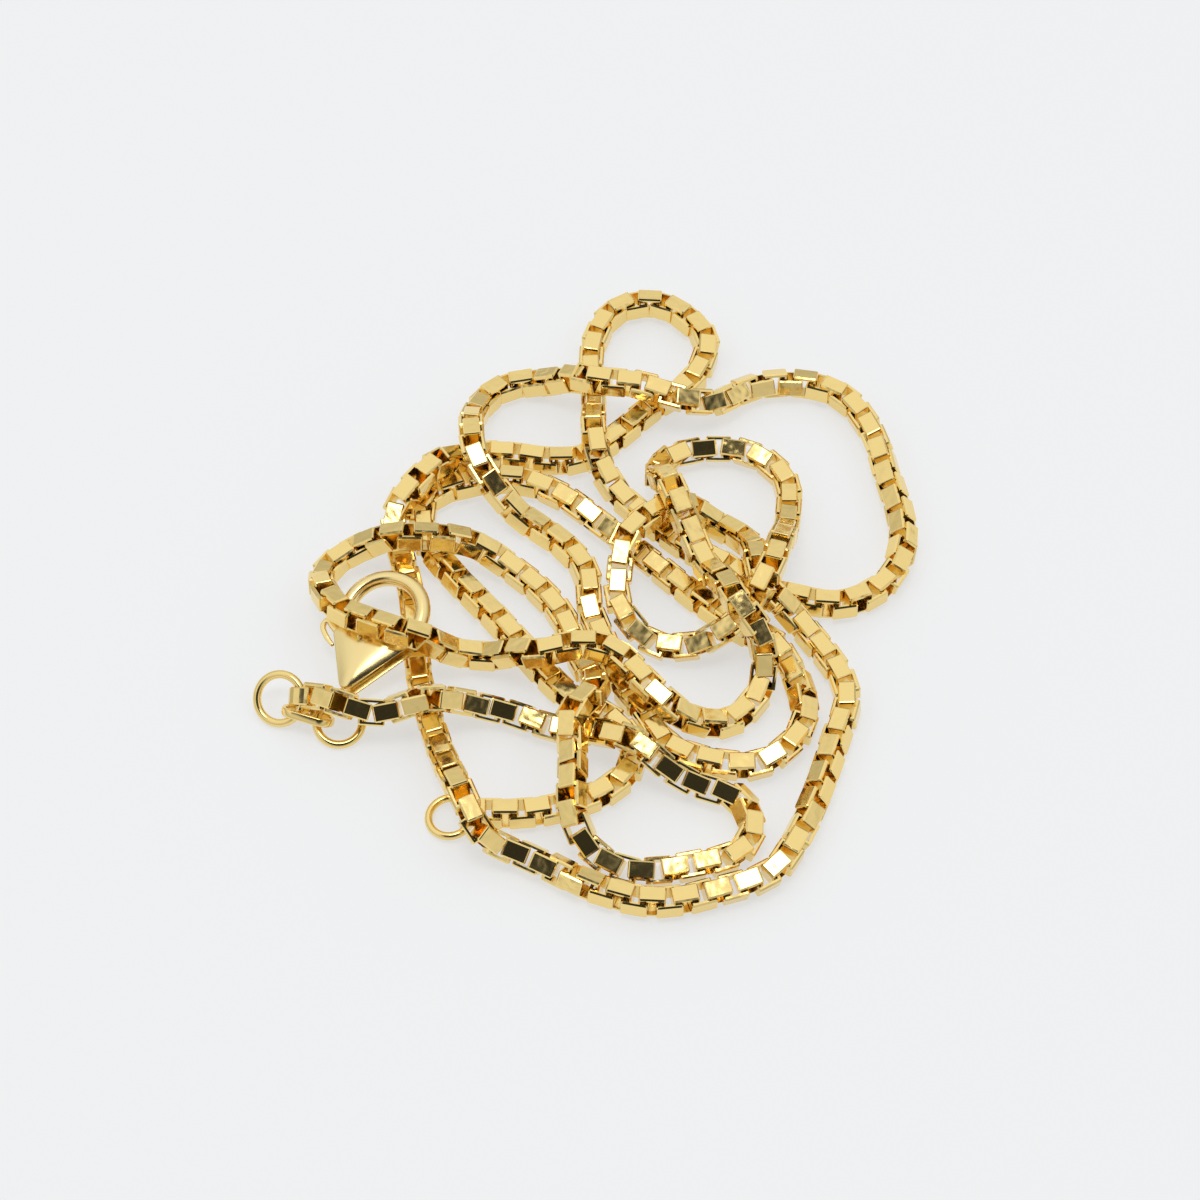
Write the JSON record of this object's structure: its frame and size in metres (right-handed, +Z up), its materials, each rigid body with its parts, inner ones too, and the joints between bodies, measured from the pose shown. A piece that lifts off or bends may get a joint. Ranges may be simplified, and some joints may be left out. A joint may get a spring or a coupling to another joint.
{
  "type": "box chain necklace",
  "caption": "Fine box chain necklace laid down in loose overlapping loops, with a lobster clasp, jump rings, a plain connector tag and an end ring.",
  "frame": {"origin": "on the table, under the middle of the whole outline", "axes": "+Z up from the table, +Y away from the viewer of the laid-out chain, +X to the viewer's right, with the clasp on the left"},
  "size_m": [0.0506, 0.0564, 0.007],
  "materials": {
    "chain_gold": "polished light yellow gold, faintly brushed faces with bright cut edges",
    "finding_gold": "smooth polished light yellow gold"
  },
  "bodies": {
    "necklace": {"chain_clasp_half": "chain_gold", "chain_ring_half": "chain_gold", "first_link": "chain_gold", "last_link": "chain_gold", "neck_jump_ring": "finding_gold", "connector_tag": "finding_gold", "clasp_jump_ring": "finding_gold", "clasp_body": "finding_gold", "clasp_pin": "finding_gold", "end_ring": "finding_gold"},
    "lever": {"clasp_lever": "finding_gold"}
  },
  "joints": [
    {"name": "lever_hinge", "type": "hinge", "parent": "necklace", "child": "lever", "pos_m": [-0.01438, -0.00637, 0.00259], "axis": [-0.1968, -0.1188, 0.9732], "range_deg": [0, 25], "stiffness_Nm_per_rad": 0.001}
  ]
}
